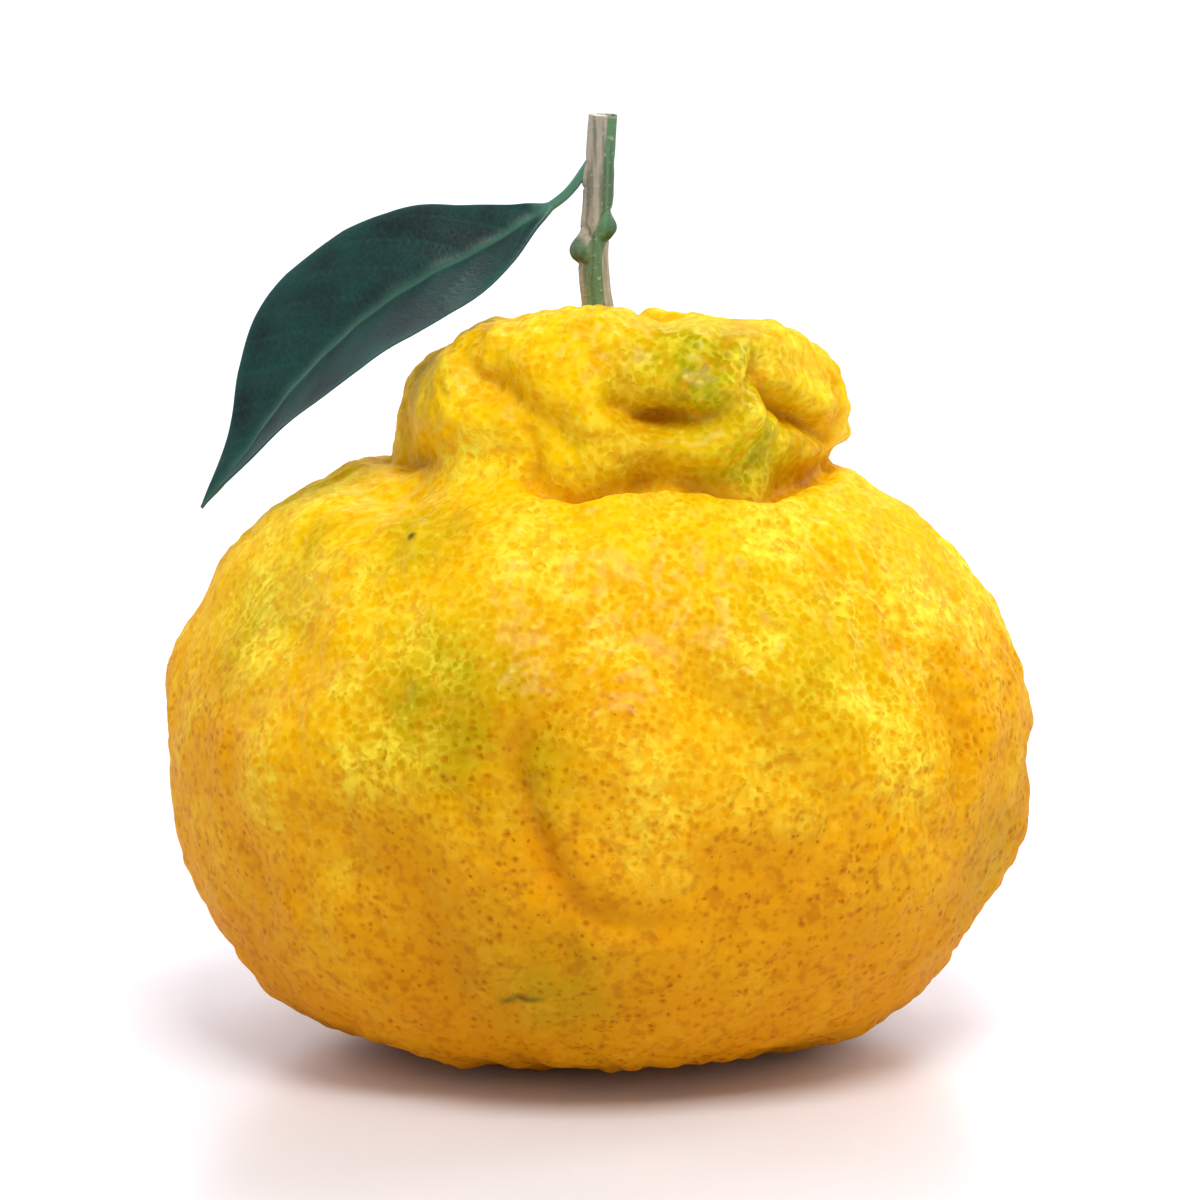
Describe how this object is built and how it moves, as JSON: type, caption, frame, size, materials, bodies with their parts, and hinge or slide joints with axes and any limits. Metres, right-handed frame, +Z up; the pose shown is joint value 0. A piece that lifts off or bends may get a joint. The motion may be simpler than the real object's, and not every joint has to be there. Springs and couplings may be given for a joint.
{
  "type": "tangelo",
  "caption": "Whole necked tangelo with bumpy yellow-orange rind, resting on a small flat spot, with its calyx, a cut twig and a folded dark green leaf.",
  "frame": {"origin": "middle of the small flat spot under the fruit, on the surface that it rests on", "axes": "+Z up through the neck and the twig; the leaf hangs towards -X and shows its upper face to -Y"},
  "size_m": [0.1208, 0.1165, 0.1302],
  "materials": {
    "rind": "waxy citrus rind, semi-gloss, with oil-gland pits and pale yellow rings round them",
    "calyx_green": "matt green calyx with brown edges",
    "twig_bark": "matt ribbed young bark, grey-green",
    "leaf_green": "waxy leaf, satin, with pale midrib and side veins"
  },
  "bodies": {
    "root": {"fruit": "rind", "calyx": "calyx_green", "twig": "twig_bark", "leaf": "leaf_green"}
  },
  "joints": []
}
